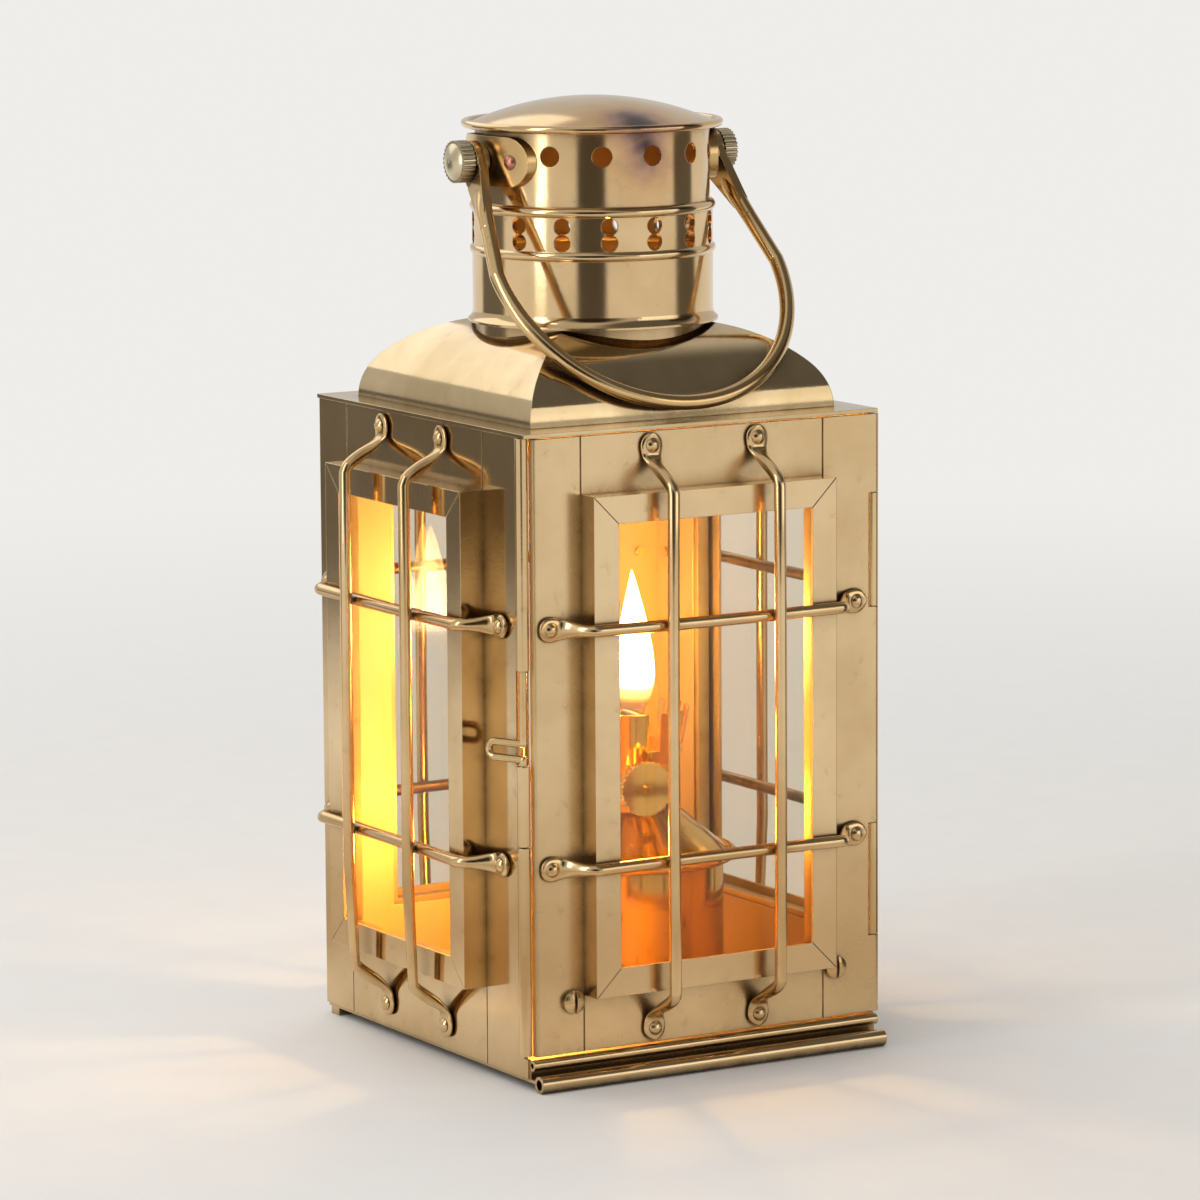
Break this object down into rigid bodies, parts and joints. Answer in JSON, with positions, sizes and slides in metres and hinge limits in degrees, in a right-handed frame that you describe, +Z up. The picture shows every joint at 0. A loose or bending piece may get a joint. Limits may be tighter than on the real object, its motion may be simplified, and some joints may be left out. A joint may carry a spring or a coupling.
{
  "type": "oil lantern",
  "caption": "Square brass oil lantern with glazed, wire-guarded walls, a hinged door with a wire catch, a vaulted hood with a round vented chimney, a swinging bail and a flat-wick lamp inside.",
  "frame": {"origin": "on the ground under the middle of the lantern's bounding box", "axes": "+Z up along the chimney; the door faces -Y; +X is the hinge side, to the right when facing the door"},
  "size_m": [0.1252, 0.129, 0.2363],
  "materials": {
    "case_brass": "polished, lightly aged",
    "lamp_brass": "drawn and polished, warm",
    "window_glass": "clear sheet",
    "wick_cotton": "flat woven cotton"
  },
  "bodies": {
    "case": {"floor_plate": "case_brass", "front_sill": "case_brass", "left_wall": "case_brass", "left_frame": "case_brass", "left_pane": "window_glass", "left_glazing": "case_brass", "left_uprights": "case_brass", "left_crossbars": "case_brass", "left_rivets": "case_brass", "right_wall": "case_brass", "right_frame": "case_brass", "right_pane": "window_glass", "right_glazing": "case_brass", "right_uprights": "case_brass", "right_crossbars": "case_brass", "right_rivets": "case_brass", "rear_wall": "case_brass", "rear_frame": "case_brass", "rear_pane": "window_glass", "rear_glazing": "case_brass", "rear_uprights": "case_brass", "rear_crossbars": "case_brass", "rear_rivets": "case_brass", "top_plate": "case_brass", "hood": "case_brass", "drum": "case_brass", "cap": "case_brass", "left_bracket": "case_brass", "right_bracket": "case_brass", "bracket_rivets": "case_brass", "left_stud": "case_brass", "right_stud": "case_brass", "hinge_pin": "case_brass", "font": "lamp_brass", "font_top": "lamp_brass", "burner_collar": "lamp_brass", "burner_cup": "lamp_brass", "gallery": "lamp_brass", "wick_tube": "lamp_brass"},
    "door": {"door_leaf": "case_brass", "door_frame": "case_brass", "door_pane": "window_glass", "door_glazing": "case_brass", "door_uprights": "case_brass", "door_crossbars": "case_brass", "door_rivets": "case_brass", "door_screws": "case_brass"},
    "catch": {"catch": "case_brass"},
    "bail": {"bail": "case_brass"},
    "left_knob": {"left_knob": "case_brass"},
    "right_knob": {"right_knob": "case_brass"},
    "winder": {"spindle": "lamp_brass", "sprockets": "lamp_brass", "thumbwheel": "lamp_brass"},
    "wick": {"wick": "wick_cotton"}
  },
  "joints": [
    {"name": "door_hinge", "type": "hinge", "parent": "case", "child": "door", "pos_m": [0.05, -0.0504, 0.0833], "axis": [0, 0, 1], "range_deg": [0, 140]},
    {"name": "catch_turn", "type": "hinge", "parent": "case", "child": "catch", "pos_m": [-0.05, -0.0504, 0.0913], "axis": [0, 0, 1], "range_deg": [0, 190]},
    {"name": "bail_swing", "type": "hinge", "parent": "case", "child": "bail", "pos_m": [0, 0, 0.2214], "axis": [-1, 0, 0], "range_deg": [0, 280]},
    {"name": "left_knob_turn", "type": "hinge", "parent": "case", "child": "left_knob", "pos_m": [-0.0385, 0, 0.2214], "axis": [-1, 0, 0], "range_deg": [0, 360]},
    {"name": "right_knob_turn", "type": "hinge", "parent": "case", "child": "right_knob", "pos_m": [0.0385, 0, 0.2214], "axis": [1, 0, 0], "range_deg": [0, 360]},
    {"name": "winder_turn", "type": "hinge", "parent": "case", "child": "winder", "pos_m": [0.00823, 0.00352, 0.063], "axis": [-0.1219, -0.9925, 0], "range_deg": [-114, 57]},
    {"name": "wick_slide", "type": "slide", "parent": "case", "child": "wick", "axis": [0, 0, 1], "range_m": [-0.006, 0.003]}
  ],
  "couplings": [
    {"joint": "wick_slide", "follows": "winder_turn", "m_per_rad": 0.003}
  ]
}
